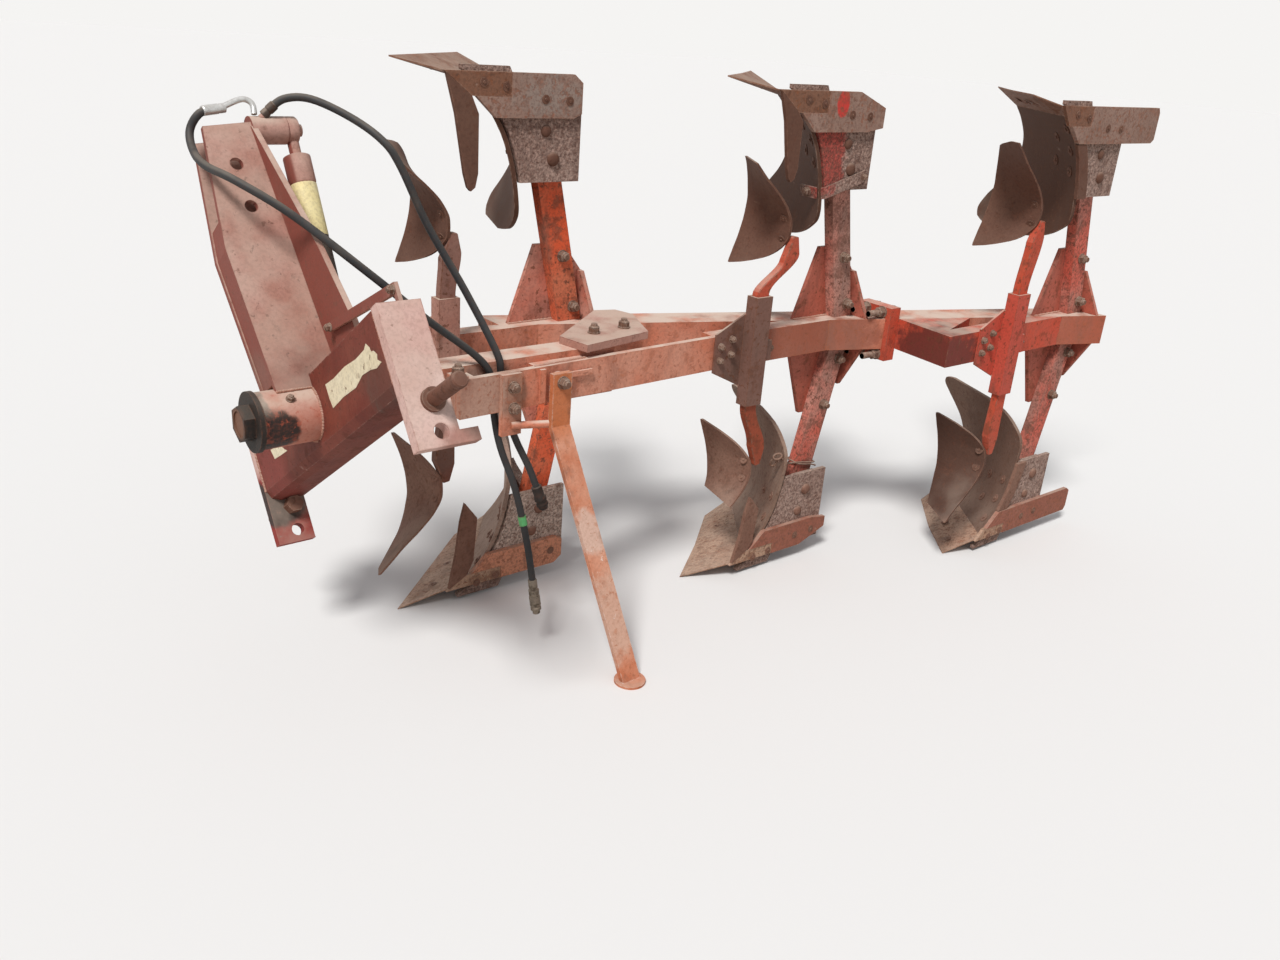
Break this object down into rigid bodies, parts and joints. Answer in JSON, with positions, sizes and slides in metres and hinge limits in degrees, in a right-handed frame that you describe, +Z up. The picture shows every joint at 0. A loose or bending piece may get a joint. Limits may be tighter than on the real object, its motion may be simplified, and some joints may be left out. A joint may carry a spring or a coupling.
{
  "type": "three-furrow mounted reversible mouldboard plough",
  "caption": "Mounted reversible mouldboard plough with upper and lower plough bodies, skims, a turnover headstock with its cylinder, hoses and a parking stand",
  "frame": {"origin": "Middle of the footprint, on the floor that the lower share points and the stand's foot rest on", "axes": "+X forward along the furrow towards the tractor, +Y to the left, +Z up"},
  "size_m": [2.541, 1.1526, 1.312],
  "materials": {
    "faded_red": "faded, chalky pinkish red paint with scratches and dust",
    "vivid_red": "vivid orange-red paint, chipped and dusty",
    "worn_red": "brown-red paint with orange rust coming through",
    "board_steel": "soil-worn steel with brown surface rust",
    "plate_rust": "pitted brown rust",
    "share_steel": "worn share steel with rust and shiny edges",
    "dark_steel": "dark greasy steel",
    "stand_paint": "salmon paint with chalky scrape marks",
    "rod_steel": "dull chromed rod",
    "pipe_steel": "bright plated pipe",
    "hose_rubber": "matte black hose rubber"
  },
  "bodies": {
    "frame": {"front_bar": "worn_red", "middle_bar": "worn_red", "rear_bar": "vivid_red", "turnover_box": "worn_red", "bridge_plate": "faded_red", "diagonal_beam": "worn_red", "rear_cross_member": "vivid_red", "flanges": "vivid_red", "leg_gussets": "worn_red", "front_legs": "vivid_red", "middle_legs": "vivid_red", "rear_legs": "worn_red", "frogs": "plate_rust", "landsides": "plate_rust", "front_shares": "share_steel", "middle_shares": "share_steel", "rear_shares": "share_steel", "share_knives": "share_steel", "front_mouldboards": "board_steel", "middle_mouldboards": "board_steel", "rear_mouldboards": "board_steel", "skim_sleeves": "worn_red", "skim_stems": "vivid_red", "front_skims": "board_steel", "middle_skims": "board_steel", "rear_skims": "board_steel", "turnover_shaft": "dark_steel", "shaft_nut": "dark_steel", "hose_bracket": "worn_red", "stand_bracket": "worn_red", "front_hose": "hose_rubber", "rear_hose": "hose_rubber"},
    "headstock": {"mast": "faded_red", "hub_tube": "faded_red", "crossbar": "faded_red", "link_plates": "faded_red", "link_pins": "dark_steel", "strap": "faded_red", "hose_pipe": "pipe_steel"},
    "cylinder_barrel_body": {"cylinder_barrel": "faded_red"},
    "cylinder_rod_body": {"cylinder_rod": "rod_steel"},
    "stand_body": {"stand": "stand_paint"}
  },
  "joints": [
    {"name": "turnover", "type": "hinge", "parent": "frame", "child": "headstock", "pos_m": [1.0785, 0.0737, 0.656], "axis": [1, 0, 0], "range_deg": [-25.8, 136.2], "deforming": ["front_hose", "rear_hose"]},
    {"name": "cylinder_swing", "type": "hinge", "parent": "headstock", "child": "cylinder_barrel_body", "pos_m": [1.0105, -0.24774, 1.15353], "axis": [1, 0, 0], "range_deg": [-2.6, 11.2]},
    {"name": "rod_slide", "type": "slide", "parent": "cylinder_barrel_body", "child": "cylinder_rod_body", "axis": [0, 0.4652, -0.8852], "range_m": [-0.062, 0.013]},
    {"name": "stand_fold", "type": "hinge", "parent": "frame", "child": "stand_body", "pos_m": [0.5795, 0.14122, 0.664], "axis": [0, 1, 0], "range_deg": [0, 90]}
  ],
  "couplings": [
    {"joint": "cylinder_swing", "follows": "turnover", "ratio": 0.0782},
    {"joint": "rod_slide", "follows": "turnover", "m_per_rad": -0.0252}
  ]
}
